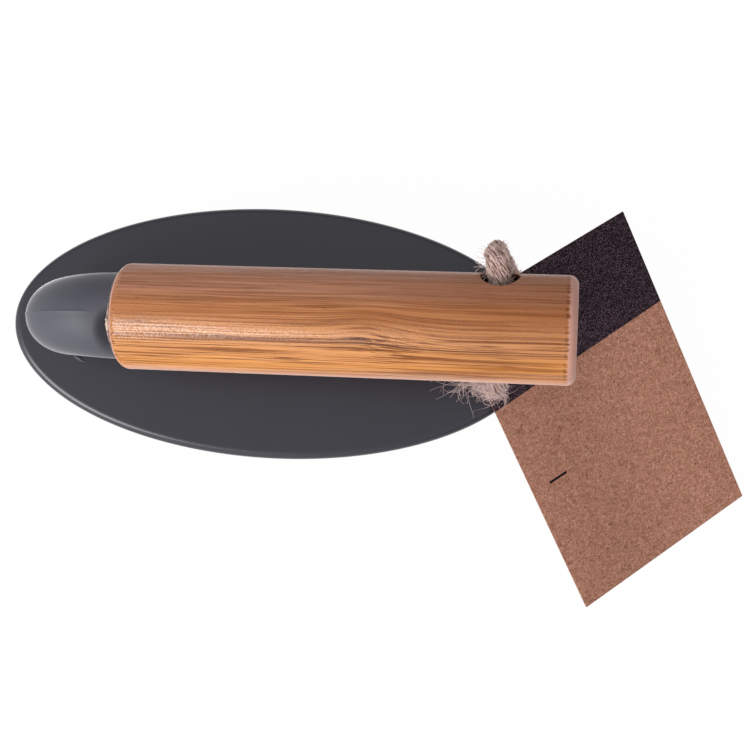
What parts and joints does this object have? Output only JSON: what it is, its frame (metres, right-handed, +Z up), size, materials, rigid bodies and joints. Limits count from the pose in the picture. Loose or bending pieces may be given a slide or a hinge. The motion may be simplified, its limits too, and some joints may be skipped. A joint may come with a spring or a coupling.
{
  "type": "hand scrubbing brush",
  "caption": "Hand scrubbing brush: oval moulded block with a bristle field, a bent neck, a round bamboo handle running back over the block, and a twine hang loop with a card.",
  "frame": {"origin": "on the plane of the bristle tips, under the middle of block and handle", "axes": "+Z up from the bristle tips to the handle, +X along the block from the neck end to the hanging end"},
  "size_m": [0.2185, 0.1155, 0.0981],
  "materials": {
    "head_plastic": "satin moulded plastic, slate grey",
    "bristle_plastic": "matt plastic filaments, dark grey",
    "bamboo": "oiled bamboo with long grain",
    "glue": "dried glue, cream",
    "jute": "hairy three-strand jute twine",
    "kraft_card": "uncoated kraft card with a dark printed header"
  },
  "bodies": {
    "brush": {"head_moulding": "head_plastic", "bristles_1": "bristle_plastic", "bristles_2": "bristle_plastic", "bristles_3": "bristle_plastic", "bristles_4": "bristle_plastic", "bamboo_handle": "bamboo", "glue_bead": "glue", "twine_loop": "jute", "twine_knot": "jute", "twine_tail_1": "jute", "twine_tail_2": "jute"},
    "tag": {"hang_tag": "kraft_card"}
  },
  "joints": [
    {"name": "tag_lift", "type": "hinge", "parent": "brush", "child": "tag", "pos_m": [0.07508, 0.0154, 0.03841], "axis": [-0.7733, -0.5481, 0.3187], "range_deg": [0, 18]}
  ]
}
